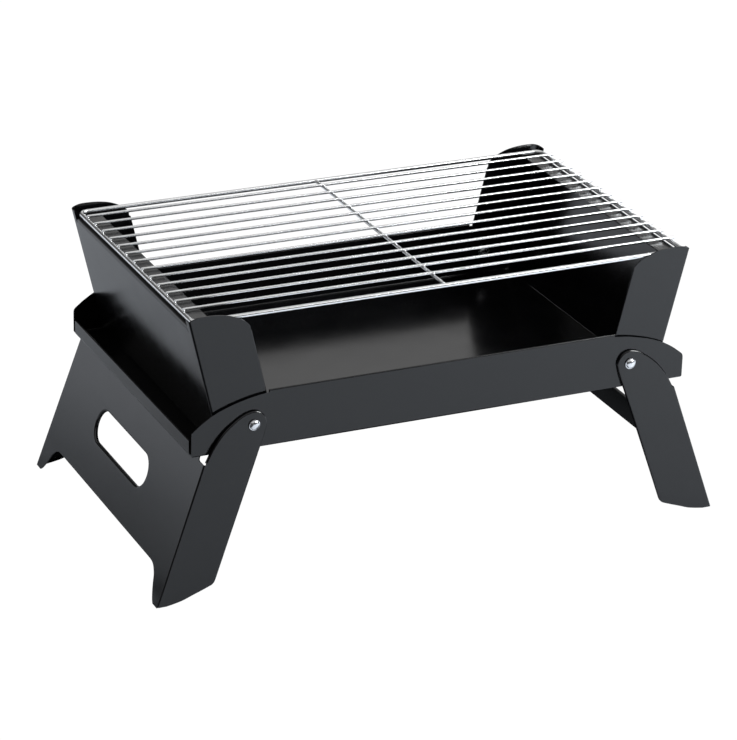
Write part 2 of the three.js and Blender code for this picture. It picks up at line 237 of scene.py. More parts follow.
def shade(ob, angle=32):
    me = ob.data
    me.polygons.foreach_set("use_smooth", [True] * len(me.polygons))
    me.set_sharp_from_angle(angle=math.radians(angle))

def thicken(ob, t=T, edge=0.28, angle=32):
    m = ob.modifiers.new("thickness", "SOLIDIFY")
    m.thickness = t * MM; m.offset = -1.0; m.use_even_offset = True; m.use_rim = True; m.use_quality_normals = True
    b = ob.modifiers.new("edge", "BEVEL")
    b.width = edge * MM; b.segments = 3; b.limit_method = "ANGLE"; b.angle_limit = math.radians(60); b.harden_normals = False
    b.use_clamp_overlap = True
    apply_all(ob)
    tidy(ob)
    shade(ob, angle)
    w = ob.modifiers.new("normals", "WEIGHTED_NORMAL")
    w.keep_sharp = True; w.weight = 80
    return ob

def tidy(ob, dist=1e-6):
    # the rounded edge leaves a few triangles without area, which an exported mesh would show as loose pieces
    bm = bmesh.new(); bm.from_mesh(ob.data)
    bmesh.ops.dissolve_degenerate(bm, dist=dist, edges=bm.edges)
    bm.to_mesh(ob.data); bm.free()

def apply_all(ob):
    dg = bpy.context.evaluated_depsgraph_get()
    dg.update()
    new = bpy.data.meshes.new_from_object(ob.evaluated_get(dg))
    old = ob.data
    ob.modifiers.clear()
    ob.data = new
    bpy.data.meshes.remove(old)


# ------------------------------------------------------------------ materials
def material(name):
    m = bpy.data.materials.new(name)
    m.use_nodes = True
    nt = m.node_tree
    for n in list(nt.nodes): nt.nodes.remove(n)
    out = nt.nodes.new("ShaderNodeOutputMaterial")
    bs = nt.nodes.new("ShaderNodeBsdfPrincipled")
    nt.links.new(bs.outputs[0], out.inputs[0])
    return m, nt, bs

def node(nt, kind, **kw):
    n = nt.nodes.new(kind)
    for k, v in kw.items():
        if k in n.inputs: n.inputs[k].default_value = v
        else: setattr(n, k, v)
    return n

def ramp(nt, src, stops):
    r = nt.nodes.new("ShaderNodeValToRGB")
    while len(r.color_ramp.elements) > 1: r.color_ramp.elements.remove(r.color_ramp.elements[-1])
    r.color_ramp.elements[0].position = stops[0][0]; r.color_ramp.elements[0].color = stops[0][1]
    for p, c in stops[1:]:
        e = r.color_ramp.elements.new(p); e.color = c
    nt.links.new(src, r.inputs[0])
    return r

def g(v): return (v, v, v, 1.0)

def enamel():
    m, nt, bs = material("black_enamel_coat")
    co = node(nt, "ShaderNodeTexCoord")
    peel = node(nt, "ShaderNodeTexNoise", Scale=1500.0, Detail=2.0, Roughness=0.5)
    mottle = node(nt, "ShaderNodeTexNoise", Scale=38.0, Detail=4.0, Roughness=0.55)
    speck = node(nt, "ShaderNodeTexNoise", Scale=5200.0, Detail=1.0, Roughness=0.5)
    for n in (peel, mottle, speck): nt.links.new(co.outputs["Object"], n.inputs["Vector"])
    col = ramp(nt, mottle.outputs["Fac"], [(0.3, (0.0016, 0.0017, 0.0021, 1)), (0.7, (0.0028, 0.0029, 0.0034, 1))])
    nt.links.new(col.outputs["Color"], bs.inputs["Base Color"])
    rough = node(nt, "ShaderNodeMapRange")
    rough.inputs["From Min"].default_value = 0.3; rough.inputs["From Max"].default_value = 0.7
    rough.inputs["To Min"].default_value = 0.15; rough.inputs["To Max"].default_value = 0.19
    nt.links.new(mottle.outputs["Fac"], rough.inputs["Value"])
    nt.links.new(rough.outputs["Result"], bs.inputs["Roughness"])
    b1 = node(nt, "ShaderNodeBump", Strength=0.06, Distance=0.00008)
    nt.links.new(peel.outputs["Fac"], b1.inputs["Height"])
    b2 = node(nt, "ShaderNodeBump", Strength=0.05, Distance=0.00004)
    nt.links.new(speck.outputs["Fac"], b2.inputs["Height"])
    nt.links.new(b1.outputs["Normal"], b2.inputs["Normal"])
    nt.links.new(b2.outputs["Normal"], bs.inputs["Normal"])
    bs.inputs["IOR"].default_value = 1.5
    return m

def plated(name, base, r0, r1, scale, along=None, bump=0.06):
    """Bright metal.  along stretches the drawing lines along an axis."""
    m, nt, bs = material(name)
    co = node(nt, "ShaderNodeTexCoord")
    mp = node(nt, "ShaderNodeMapping")
    s = [1.0, 1.0, 1.0]
    if along is not None: s[along] = 0.02
    mp.inputs["Scale"].default_value = s
    nt.links.new(co.outputs["Object"], mp.inputs["Vector"])
    lines = node(nt, "ShaderNodeTexNoise", Scale=scale, Detail=3.0, Roughness=0.6)
    nt.links.new(mp.outputs["Vector"], lines.inputs["Vector"])
    tone = node(nt, "ShaderNodeTexNoise", Scale=60.0, Detail=3.0, Roughness=0.5)
    nt.links.new(co.outputs["Object"], tone.inputs["Vector"])
    col = ramp(nt, tone.outputs["Fac"], [(0.3, (base[0] * 0.93, base[1] * 0.93, base[2] * 0.93, 1)), (0.7, (base[0], base[1], base[2], 1))])
    nt.links.new(col.outputs["Color"], bs.inputs["Base Color"])
    rr = node(nt, "ShaderNodeMapRange")
    rr.inputs["From Min"].default_value = 0.3; rr.inputs["From Max"].default_value = 0.7
    rr.inputs["To Min"].default_value = r0; rr.inputs["To Max"].default_value = r1
    nt.links.new(lines.outputs["Fac"], rr.inputs["Value"])
    nt.links.new(rr.outputs["Result"], bs.inputs["Roughness"])
    bp = node(nt, "ShaderNodeBump", Strength=bump, Distance=0.00006)
    nt.links.new(lines.outputs["Fac"], bp.inputs["Height"])
    nt.links.new(bp.outputs["Normal"], bs.inputs["Normal"])
    bs.inputs["Metallic"].default_value = 1.0
    return m

ENAMEL = enamel()
WIRE_X = plated("bright_wire_long", (0.92, 0.925, 0.93), 0.2, 0.28, 900.0, along=0, bump=0.02)
WIRE_Y = plated("bright_wire_cross", (0.92, 0.925, 0.93), 0.2, 0.28, 900.0, along=1, bump=0.02)
WIRE_F = plated("bright_wire_frame", (0.92, 0.925, 0.93), 0.2, 0.28, 700.0, bump=0.02)
ZINC = plated("zinc_rivet", (0.78, 0.79, 0.81), 0.16, 0.3, 1800.0, bump=0.12)
WASH = plated("coated_washer", (0.06, 0.06, 0.063), 0.35, 0.5, 1600.0, bump=0.12)

def dress(ob, mat, body, slot, *nodes):
    ob.data.materials.clear(); ob.data.materials.append(mat)
    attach(ob, body)
    if nodes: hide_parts(*nodes)
    return ob


# ------------------------------------------------------------------ fire tray
def build_tray():
    wall = Bent(0, TRAY_Z0, [("l", WALL_Y - BEND), ("a", BEND, 90), ("l", HEM_TOP - HEM_R - TRAY_Z0 - BEND), ("a", HEM_R, 180), ("l", 4.2)])
    lip = Bent(0, TRAY_Z0, [("l", TRAY_X - BEND), ("a", BEND, 90), ("l", LIP_TOP - 1.0 - TRAY_Z0 - BEND), ("a", 1.0, 180), ("l", 3.6)])
    s1 = WALL_Y - BEND; s2 = s1 + BEND * math.pi / 2
    u1 = TRAY_X - BEND
    def w_of(z):
        if z >= TRAY_Z0 + BEND: return s2 + z - TRAY_Z0 - BEND
        return s1 + BEND * math.acos(1 - (z - TRAY_Z0) / BEND)
    curve = [(HEM_X, WALL_TOP), (166, WALL_TOP - 0.9), (175, WALL_TOP - 2.5), (187.4, WALL_TOP - 5.6), (197, WALL_TOP - 8.8),
             (205, WALL_TOP - 12.2), (214, WALL_TOP - 17.6), (220.6, WALL_TOP - 22.6)]
    curve = smooth(curve, 4) + [(222.6, WALL_TOP - 24.2), (223.7, WALL_TOP - 25.4), (224.3, WALL_TOP - 26.8), (WALL_X, WALL_TOP - 28.6)]
    q = [(lip.length, 0), (lip.length, LIP_Y - 2.0), (lip.length - 0.6, LIP_Y - 0.6), (lip.length - 2.0, LIP_Y), (u1 - 1.0, LIP_Y)]
    q += [(u1 - 1.8, LIP_Y + 0.5), (u1 - 2.0, LIP_Y + 1.4), (u1 - 1.8, LIP_Y + 2.4), (u1 - 1.2, s1 - 0.2), (WALL_X - 2.0, s1 + 0.05)]
    q += [(WALL_X - 0.9, w_of(TRAY_Z0 + 0.25)), (WALL_X - 0.3, w_of(TRAY_Z0 + 0.8)), (WALL_X, w_of(TRAY_Z0 + 1.8))]
    q += [(x, w_of(z)) for x, z in reversed(curve)]
    q += [(HEM_X - 0.15, w_of(WALL_TOP) + 0.5), (HEM_X - 0.15, wall.length - 1.2), (HEM_X - 1.2, wall.length), (0, wall.length)]
    q = dedupe(q)
    q2 = [(-x, y) for x, y in reversed(q)][1:]
    top = q + q2
    bottom = [(-x, -y) for x, y in top][1:-1]
    outer = top[:-1] + [top[-1]] + bottom
    holes = [arc(sx * PX, sy * w_of(PZ), HOLE_R, 0, 360 * 23 / 24, 23) for sx in (-1, 1) for sy in (-1, 1)]
    lines = []
    for s in wall.stops(6):
        for sg in (-1, 1): lines.append([(-WALL_X - 1, sg * s), (WALL_X + 1, sg * s)])
    for s in lip.stops(6):
        for sg in (-1, 1): lines.append([(sg * s, -LIP_Y - 0.2), (sg * s, LIP_Y + 0.2)])
    for k in range(-7, 8):
        lines.append([(k * 29.0, -wall.length - 1), (k * 29.0, wall.length + 1)])
    v, tris = flat_pattern(outer, holes, lines)
    out = []
    for x, y in v:
        if abs(y) > s1:
            yy, zz = wall.at(abs(y)); out.append((x, math.copysign(yy, y), zz))
        elif abs(x) > u1 - 1e-6 and abs(y) <= LIP_Y + 1e-3:
            xx, zz = lip.at(abs(x)); out.append((math.copysign(xx, x), y, zz))
        else:
            out.append((x, y, TRAY_Z0))
    ob = finish_mesh("tray_sheet", out, tris, outward=((0, 0, TRAY_Z0), (0, 0, -1)))
    return thicken(ob)

tray = dress(build_tray(), ENAMEL, "tray", "black_enamel", "fire_tray")


# ------------------------------------------------------------------ end panels
ca, sa = math.cos(LEAN), math.sin(LEAN)
def build_end(side):
    RB, HR = 2.0, 0.95
    across = Bent(0, 0, [("l", WING_Y - RB), ("a", RB, 90), ("l", END_A - RB - (WING_IN + HR)), ("a", HR, 180), ("l", 3.6)])
    # across gives (y, inward distance from the outer face)
    q1 = WING_Y - RB; q2 = q1 + RB * math.pi / 2; q3 = q2 + END_A - RB - (WING_IN + HR)
    q_of = lambda a: q2 + (END_A - RB - a)
    # up the panel: shoulder and seat flange
    shoulder_z = SEAT_Z - SEAT_R
    b_sh = (shoulder_z - PZ + (END_A - SEAT_R) * sa) / ca      # local height of the arc's centre
    turn = 90 + math.degrees(LEAN)
    cx_world = PX + (END_A - SEAT_R) * ca + b_sh * sa
    seat = Bent(0, END_B0, [("l", b_sh - END_B0), ("a", SEAT_R, turn), ("l", cx_world - SEAT_X)], heading=90)
    b_line = b_sh
    wing_top = [(END_A - 2.3, 105.3), (25.2, 105.7), (21.5, 105.55), (18.2, 104.95), (11.4, 103.2), (4.3, 100.8), (-2.7, 97.6), (-8.9, 93.5), (-13.2, 89.7), (-15.9, 86.5)]
    wing_top = smooth(wing_top, 3) + [(-17.2, 84.3), (-17.9, 82.2), (WING_IN + HR, 79.5)]
    t1 = -180 + math.degrees(math.asin(math.sqrt(WING_R ** 2 - (WING_IN + HR) ** 2) / WING_R))
    t0 = math.degrees(math.atan2(-19.45, 4.67))
    low = arc(0, 0, WING_R, t1, t0, 10)
    q = [(0, seat.length + END_B0), (NOTCH_Y - 1.6, seat.length + END_B0), (NOTCH_Y - 0.5, seat.length + END_B0 - 0.5), (NOTCH_Y, seat.length + END_B0 - 1.6), (NOTCH_Y, b_line + 0.6)]
    q += [(NOTCH_Y + 0.15, b_line - 0.6), (NOTCH_Y + 0.5, b_line - 1.0), (NOTCH_Y + 0.85, b_line - 0.6), (NOTCH_Y + 1.0, b_line + 0.6)]
    q += [(NOTCH_Y + 1.0, STRIP_B - 1.3), (NOTCH_Y + 1.35, STRIP_B - 0.4), (NOTCH_Y + 2.2, STRIP_B), (q1, STRIP_B), (q1 + 1.2, STRIP_B + 0.15)]
    q += [(q_of(a), b) for a, b in wing_top]
    q += [(q3 + 0.2, 78.4), (across.length - 1.0, 78.4), (across.length, 77.4), (across.length, -4.0), (across.length - 1.0, -5.0), (q3 + 0.2, -5.0)]
    q += [(q_of(a), b) for a, b in low]
    q += [(q2, END_B0 + 0.05), (q1, END_B0), (0, END_B0)]
    q = dedupe(q)
    outer = q + [(-x, y) for x, y in reversed(q)][1:-1]
    holes = [arc(sy * q_of(0), 0, HOLE_R, 0, 360 * 23 / 24, 23) for sy in (-1, 1)]
    lines = []
    for s in across.stops(6):
        for sg in (-1, 1): lines.append([(sg * s, END_B0 - 1), (sg * s, 108)])
    for s in seat.stops(10):
        lines.append([(-NOTCH_Y - 0.02, s + END_B0), (NOTCH_Y + 0.02, s + END_B0)])
    for k in range(-4, 5):
        lines.append([(k * 29.0, END_B0 - 1), (k * 29.0, seat.length + END_B0 + 1)])
    v, tris = flat_pattern(outer, holes, lines)
    out = []
    for x, b in v:
        ax = abs(x)
        if ax > q1:
            y, d = across.at(ax); a = END_A - d; y = math.copysign(y, x); bb = b
        elif b > b_line and ax <= NOTCH_Y + 0.05:
            d, bb = seat.at(b - END_B0); a = END_A + d; y = x
        else:
            y, a, bb = x, END_A, b
        X = PX + a * ca + bb * sa; Z = PZ - a * sa + bb * ca
        out.append((side * X, y, Z))
    mid = (END_A, 0, 30)
    ob = finish_mesh("end_sheet_" + ("right" if side > 0 else "left"), out, tris,
                     outward=((side * (PX + END_A * ca + 30 * sa), 0, PZ - END_A * sa + 30 * ca), (side, 0, 0)))
    return thicken(ob, edge=0.2)

for side, name in ((-1, "left"), (1, "right")):
    dress(build_end(side), ENAMEL, name + "_end", "black_enamel", "end_panel_" + name)


# ------------------------------------------------------------------ legs
cs, ss = math.cos(SPLAY), math.sin(SPLAY)
def build_leg(side):
    RB, RE = 1.5, 1.35
    sh = Sheet()
    def place(s, p, y):
        X = PX + s * ss + p * cs; Z = PZ - s * cs + p * ss
        k = max(0.0, min(1.0, s / LEG_S))
        near = HEAD_IN * max(0.0, min(1.0, 1 - s / 45)) * max(0.0, min(1.0, (abs(y) - 125) / 15))
        return (side * X, math.copysign(abs(y) * (1 + FLARE * k / LEG_Y) - near, y), Z)
    q1 = LEG_Y - RB; q2 = q1 + RB * math.pi / 2
    across = Bent(0, 0, [("l", q1), ("a", RB, 90), ("l", 80)])
    q_of = lambda p: q2 + (LEG_P - RB - p)
    sole = lambda p: LEG_S + (p - LEG_P) * math.tan(SPLAY)
    # flange outline from the fold's top, round the head, down the inner edge, along the sole
    head = smooth([(PANEL_RELIEF - 1.9, LEG_P - RB), (31.7, 29.6), (24, 28.0), (16, 25.4), (9, 22.2), (2.5, 18.1), (-3.2, 13.9), (-7.6, 9.6)], 3)
    ring = arc(0, 0, 11.6, 146, 258, 14)
    inner = [(4.5, -11.9), (10, -12.0), (30, -11.8), (60, -11.55), (100, -11.3), (134.5, -11.2)]
    foot = smooth([(137.2, -10.9), (139.6, -9.8), (141.6, -7.7), (146.2, -2.2), (151.3, 4.2), (157.2, 11.4), (161.3, 18.0)], 3)
    end = [(sole(24.0) - 0.0, 24.0), (sole(LEG_P - RB), LEG_P - RB)]
    outline = dedupe(head + ring + inner + foot + end)
    outline = [(min(s, sole(p)), p) for s, p in outline]
    inset = offset_open(outline, RE, left=True)
    # make sure that the inset went inwards
    mid = len(outline) // 2
    if math.hypot(inset[len(head) + 7][0], inset[len(head) + 7][1]) > 11.6:
        inset = offset_open(outline, RE, left=False)
    inset[0] = (outline[0][0] + RE, LEG_P - RB); inset[-1] = (outline[-1][0] - RE, LEG_P - RB)
    # blank: panel with its two flanges, flange edges set in by the edge radius
    flange_pts = [(q_of(p), s) for s, p in inset]
    top = [(0, PANEL_TOP), (129.6, PANEL_TOP), (131.0, PANEL_TOP + 0.5), (131.6, PANEL_TOP + 1.8), (131.6, PANEL_RELIEF - 1.8), (132.2, PANEL_RELIEF - 0.5), (133.6, PANEL_RELIEF),
           (q1 - 1.0, PANEL_RELIEF), (q1, PANEL_RELIEF - 0.05)]
    side_foot = smooth([(133.6, LEG_S), (130.6, 164.8), (126.9, 159.6), (123.4, 153.4), (120.3, 147.3), (115.2, 142.4), (110.5, 140.5), (105, PANEL_BOTTOM)], 4)
    bot = [(q1, LEG_S), (136.0, LEG_S)] + side_foot + [(0, PANEL_BOTTOM)]
    half = dedupe(top + flange_pts + bot)
    outer = half + [(-x, y) for x, y in reversed(half)][1:-1]
    slot_out = lambda r: arc(SLOT_C + SLOT_Y - SLOT_R, SLOT_S, r, -90, 90, 18) + arc(SLOT_C - SLOT_Y + SLOT_R, SLOT_S, r, 90, 270, 18)
    RS = 1.9
    slot = slot_out(SLOT_R + RS)
    holes = [slot] + [arc(sy * q_of(0), 0, HOLE_R, 0, 360 * 23 / 24, 23) for sy in (-1, 1)]
    lines = []
    for s in across.stops(6):
        for sg in (-1, 1): lines.append([(sg * s, 20), (sg * s, LEG_S + 3)])
    for k in (50, 70, 110, 128): lines.append([(-q2 - 38, k), (q2 + 38, k)])   # inside the edge, which the rim shares
    v, tris = flat_pattern(outer, holes, lines)
    def fold(x, s):
        ax = abs(x)
        if ax > q1:
            y, d = across.at(ax); return place(s, LEG_P - d, math.copysign(y, x))
        return place(s, LEG_P, x)
    pts = [fold(x, s) for x, s in v]
    for t in tris: sh.face([pts[i] for i in t])
    # rounded, turned-in rim round each flange
    n = 5
    for sg in (-1, 1):
        prev = [fold(sg * q_of(p), s) for s, p in inset]
        for k in range(1, n + 1):
            a = math.pi / 2 * k / n
            row = []
            for (s0, p0), (s1, p1) in zip(inset, outline):
                f = math.sin(a)
                row.append(place(s0 + (s1 - s0) * f, p0 + (p1 - p0) * f, sg * (LEG_Y - RE * (1 - math.cos(a)))))
            sh.strip(prev, row); prev = row
        # shorter near the hinge, where the lip would cut into the tray
        row = [place(s, p, sg * (LEG_Y - LEG_LIP + 0.45 * max(0.0, min(1.0, 1 - s / 45)))) for s, p in outline]
        sh.strip(prev, row)
    # hand slot rim
    rim0 = slot_out(SLOT_R + RS)
    prev = [place(s, LEG_P, y) for y, s in rim0]
    for k in range(1, 7):
        a = math.pi / 2 * k / 6
        r = SLOT_R + RS * (1 - math.sin(a))
        row = [place(s, LEG_P - RS * (1 - math.cos(a)), y) for y, s in slot_out(r)]
        sh.strip(prev, row, True); prev = row
    row = [place(s, LEG_P - SLOT_RIM, y) for y, s in slot_out(SLOT_R)]
    sh.strip(prev, row, True)
    c = place(70, LEG_P, 0)
    ob = finish_mesh("leg_sheet_" + ("right" if side > 0 else "left"), sh.v, sh.f, outward=(place(60, LEG_P, 0), (side * cs, 0, ss)))
    return thicken(ob)

for side, name in ((-1, "left"), (1, "right")):
    dress(build_leg(side), ENAMEL, name + "_leg", "black_enamel", "leg_" + name)


# ------------------------------------------------------------------ rivets and washers
def lathe(name, profile, cx, cz, sy, n=48, closed=False):
    verts, faces = [], []
    m = len(profile)
    for i in range(n):
        a = 2 * math.pi * i / n
        for r, y in profile:
            verts.append((cx + r * math.cos(a), sy * y, cz + r * math.sin(a)))
    for i in range(n):
        j = (i + 1) % n
        for k in range(m if closed else m - 1):
            l = (k + 1) % m
            faces.append((i * m + k, j * m + k, j * m + l, i * m + l))
    ob = finish_mesh(name, verts, faces)
    shade(ob, 38)
    return ob

def round_profile(y0, y1, ri, ro, c=0.15):
    return [(ri + c, y0), (ro - c, y0), (ro - c * 0.3, y0 + c * 0.3), (ro, y0 + c), (ro, y1 - c), (ro - c * 0.3, y1 - c * 0.3), (ro - c, y1), (ri + c, y1), (ri + c * 0.3, y1 - c * 0.3), (ri, y1 - c), (ri, y0 + c), (ri + c * 0.3, y0 + c * 0.3)]

H = LEG_Y + 0.3 - HEAD_IN
for tag, sx, sy in (("front_left", -1, -1), ("front_right", 1, -1), ("back_left", -1, 1), ("back_right", 1, 1)):
    prof = [(0.0001, 133.9), (1.2, 133.95), (2.3, 134.1), (3.1, 134.5), (3.45, 135.0), (3.5, 135.5), (3.35, 135.7), (2.5, 135.72), (2.5, H - 0.02), (4.5, H),
            (4.75, H + 0.1), (4.8, H + 0.35), (4.75, H + 0.6), (4.5, H + 0.75), (4.15, H + 0.85)]
    prof += [(4.0 * math.cos(math.radians(a)), H + 0.9 + 2.0 * math.sin(math.radians(a))) for a in (6, 16, 28, 40, 52, 64, 76)] + [(0.0001, H + 2.9)]
    dress(lathe("rivet_body_" + tag, prof, sx * PX, PZ, sy), ZINC, "tray", "zinc", "rivet_" + tag)
    dress(lathe("washer_out_" + tag, round_profile(WALL_Y + 0.3, LEG_Y - 1.3 - HEAD_IN, 2.8, 6.0), sx * PX, PZ, sy, closed=True), WASH, "tray", "spacer", "outer_washer_" + tag)
    dress(lathe("washer_mid_" + tag, round_profile(WING_Y + 0.3, WALL_Y - 1.3, 2.8, 6.0), sx * PX, PZ, sy, closed=True), WASH, "tray", "spacer", "middle_washer_" + tag)
    dress(lathe("washer_in_" + tag, round_profile(136.0, 136.7, 2.8, 5.5), sx * PX, PZ, sy, closed=True), ZINC, "tray", "zinc", "inner_washer_" + tag)


# ------------------------------------------------------------------ rack
def tube(name, path, r, closed=False, n=18, cap=True, radius=None):
    """Round wire along points, with rounded ends."""
    P = [Vector(p) for p in path]
    m = len(P)
    verts, faces = [], []
    rings = []
    for i in range(m):
        if closed: d = (P[(i + 1) % m] - P[(i - 1) % m]).normalized()
        else: d = (P[min(i + 1, m - 1)] - P[max(i - 1, 0)]).normalized()
        side = d.cross(Vector((0, 0, 1))).normalized(); up = side.cross(d).normalized()
        rr = r if radius is None else r * radius(i)
        rings.append((P[i], side, up, rr))
    if cap and not closed:
        d0 = (P[0] - P[1]).normalized(); d1 = (P[-1] - P[-2]).normalized()
        pre, post = [], []
        e = 0.45
        for a in (78, 55, 30):
            k = math.sin(math.radians(90 - a))
            pre.append((P[0] + d0 * e * math.sin(math.radians(a)) , rings[0][1], rings[0][2], rings[0][3] * (1 - e / r * (1 - math.cos(math.radians(a))))))
            post.append((P[-1] + d1 * e * math.sin(math.radians(a)), rings[-1][1], rings[-1][2], rings[-1][3] * (1 - e / r * (1 - math.cos(math.radians(a))))))
        rings = pre + rings + post[::-1]
    for c, s, u, rr in rings:
        for j in range(n):
            a = 2 * math.pi * j / n
            verts.append(tuple(c + s * rr * math.cos(a) + u * rr * math.sin(a)))
    M = len(rings)
    for i in range(M if closed else M - 1):
        i2 = (i + 1) % M
        for j in range(n):
            j2 = (j + 1) % n
            faces.append((i * n + j, i * n + j2, i2 * n + j2, i2 * n + j))
    if not closed:
        faces.append(tuple(range(n))); faces.append(tuple((M - 1) * n + j for j in range(n - 1, -1, -1)))
    ob = finish_mesh(name, verts, faces)
    shade(ob, 40)
    return ob

R = FRAME_CORNER
loop = []
for cx, cy, a0 in ((FRAME_X - R, FRAME_Y - R, 0), (-FRAME_X + R, FRAME_Y - R, 90), (-FRAME_X + R, -FRAME_Y + R, 180), (FRAME_X - R, -FRAME_Y + R, 270)):
    loop += [(x, y + RACK_Y, RACK_Z) for x, y in arc(cx, cy, R, a0, a0 + 90, 12)]
full = []
for i, p in enumerate(loop):
    q = loop[(i + 1) % len(loop)]
    full.append(p)
    d = math.dist(p, q)
    if d > 40:
        k = int(d / 20)
        full += [tuple(p[c] + (q[c] - p[c]) * j / k for c in range(3)) for j in range(1, k)]
rack_body = "rack"
dress(tube("rack_frame_wire", full, FRAME_R, closed=True, n=22), WIRE_F, rack_body, "bright_wire", "rack_frame")

def wobble(i, t):
    return 0.10 * math.sin(2.1 * t * math.pi + i * 1.7) + 0.05 * math.sin(5.3 * t * math.pi + i * 0.9)

blobs = []
_lo, _hi = mmbox("rack_cross_wire")
CROSS_X = (_lo[0] + _hi[0]) / 2
for i in range(1, 14):
    lo, hi = mmbox("rack_wire_%02d" % i)
    y, z = (lo[1] + hi[1]) / 2, (lo[2] + hi[2]) / 2
    x0, x1 = lo[0] + 0.45, hi[0] - 0.45
    path = [(x0 + (x1 - x0) * k / 44, y + wobble(i, k / 44) * math.sin(math.pi * k / 44), z) for k in range(45)]
    dress(tube("rack_long_wire_%02d" % i, path, WIRE_R, n=16), WIRE_X, rack_body, "bright_wire", "rack_wire_%02d" % i)
    for sx in (-1, 1):
        blobs.append(((sx * FRAME_X, y, (RACK_Z + FRAME_R + z - WIRE_R) / 2), 0.85, 0.9, 0.5))
    blobs.append(((CROSS_X, y, z - WIRE_R - 0.15), 0.85, 0.9, 0.5))
lo, hi = mmbox("rack_cross_wire")
zc = (lo[2] + hi[2]) / 2
path = [(CROSS_X + 0.06 * math.sin(k), lo[1] + 0.3 + (hi[1] - lo[1] - 0.6) * k / 30, zc) for k in range(31)]
dress(tube("rack_middle_wire", path, 1.5, n=16), WIRE_Y, rack_body, "bright_wire", "rack_cross_wire")
for sy in (-1, 1):
    blobs.append(((CROSS_X, RACK_Y + sy * (FRAME_Y - FRAME_R - 0.1), RACK_Z + 0.2), 1.7, 0.9, 1.3))

def weld_beads():
    bm = bmesh.new()
    for k, (c, rx, ry, rz) in enumerate(blobs):
        res = bmesh.ops.create_icosphere(bm, subdivisions=2, radius=1.0)
        for v in res["verts"]:
            n = v.co.copy()
            j = 1.0 + 0.10 * math.sin(3.0 * n.x + k) * math.cos(2.3 * n.y + 1.7 * k)
            v.co = Vector((c[0] + n.x * rx * j, c[1] + n.y * ry * j, c[2] + n.z * rz)) * MM
    me = bpy.data.meshes.new("rack_weld_beads"); bm.to_mesh(me); bm.free()
    ob = bpy.data.objects.new("rack_weld_beads", me)
    bpy.context.scene.collection.objects.link(ob)
    shade(ob, 60)
    return ob
dress(weld_beads(), WIRE_F, rack_body, "bright_wire")


# ------------------------------------------------------------------ floor, light, camera
def floor():
    s = 8.0
    ob = finish_mesh("studio_floor", [(-s / MM, -s / MM, 0), (s / MM, -s / MM, 0), (s / MM, s / MM, 0), (-s / MM, s / MM, 0)], [(0, 1, 2, 3)], outward=((0, 0, 0), (0, 0, 1)))
    ob.location.z = -0.0006
    # the floor's material holds painted shadows and a painted glow, which show only in reflections
    m, nt, bs = material("studio_floor_paint")
    out = next(n for n in nt.nodes if n.type == "OUTPUT_MATERIAL")
    co = node(nt, "ShaderNodeTexCoord")
    no = node(nt, "ShaderNodeTexNoise", Scale=3.0, Detail=2.0)
    nt.links.new(co.outputs["Object"], no.inputs["Vector"])
    c = ramp(nt, no.outputs["Fac"], [(0.0, (0.75, 0.79, 0.85, 1)), (1.0, (0.77, 0.81, 0.87, 1))])
    bs.inputs["Roughness"].default_value = 0.9
    bs.inputs["Specular IOR Level"].default_value = 0.0
    xyz = node(nt, "ShaderNodeSeparateXYZ")
    nt.links.new(co.outputs["Object"], xyz.inputs[0])
    def step(src, a, b):
        n = node(nt, "ShaderNodeMapRange", interpolation_type="SMOOTHSTEP")
        lo, hi, t0, t1 = (a, b, 0.0, 1.0) if a < b else (b, a, 1.0, 0.0)
        for k, v in (("From Min", lo), ("From Max", hi), ("To Min", t0), ("To Max", t1)): n.inputs[k].default_value = v
        nt.links.new(src, n.inputs["Value"])
        return n.outputs["Result"]
    def times(*src):
        out = src[0]
        for q in src[1:]:
            n = node(nt, "ShaderNodeMath", operation="MULTIPLY")
            nt.links.new(out, n.inputs[0])
            if isinstance(q, float): n.inputs[1].default_value = q
            else: nt.links.new(q, n.inputs[1])
            out = n.outputs[0]
        return out
    def less(src, k):
        n = node(nt, "ShaderNodeMath", operation="MULTIPLY_ADD")
        nt.links.new(src, n.inputs[0]); n.inputs[1].default_value = -k; n.inputs[2].default_value = 1.0
        return n.outputs[0]
    X, Y = xyz.outputs["X"], xyz.outputs["Y"]
    # painted shadows: for reflected rays the floor's colour is darkened in patches front-left of, behind, under and
    # back-left of the grill
    front_left = times(step(X, -0.24, -0.34), step(Y, 0.02, -0.10))
    behind = times(step(Y, -0.14, -0.06), step(Y, 0.45, 0.30), step(X, -0.20, -0.05))
    under = times(step(Y, -0.25, -0.19), step(Y, 0.05, -0.02), step(X, -0.14, -0.06), step(X, 0.17, 0.09))
    back_left = times(step(Y, 0.20, 0.32), step(X, 0.05, -0.12))
    keep = times(less(front_left, 0.93), less(behind, 0.95), less(under, 0.93), less(back_left, 0.35))
    shadowed_floor_colour = node(nt, "ShaderNodeVectorMath", operation="SCALE")
    nt.links.new(c.outputs["Color"], shadowed_floor_colour.inputs[0]); nt.links.new(keep, shadowed_floor_colour.inputs["Scale"])
    nt.links.new(shadowed_floor_colour.outputs[0], bs.inputs["Base Color"])
    # painted light: in reflections the floor glows, brighter away from the grill and behind it
    ln = node(nt, "ShaderNodeVectorMath", operation="LENGTH")
    nt.links.new(co.outputs["Object"], ln.inputs[0])
    glow = times(step(ln.outputs["Value"], 0.45, 1.2), step(Y, -0.1, 0.15), FAR_GLOW)
    nt.links.new(glow, bs.inputs["Emission Strength"])
    bs.inputs["Emission Color"].default_value = (0.95, 0.985, 1.06, 1)
    white = node(nt, "ShaderNodeEmission", Color=(1, 1, 1, 1), Strength=1.03)
    lp = node(nt, "ShaderNodeLightPath")
    mx = node(nt, "ShaderNodeMixShader")
    nt.links.new(lp.outputs["Is Camera Ray"], mx.inputs[0])
    nt.links.new(bs.outputs[0], mx.inputs[1]); nt.links.new(white.outputs[0], mx.inputs[2])
    nt.links.new(mx.outputs[0], out.inputs[0])
    ob.data.materials.append(m)
FAR_GLOW = 0.5
floor()

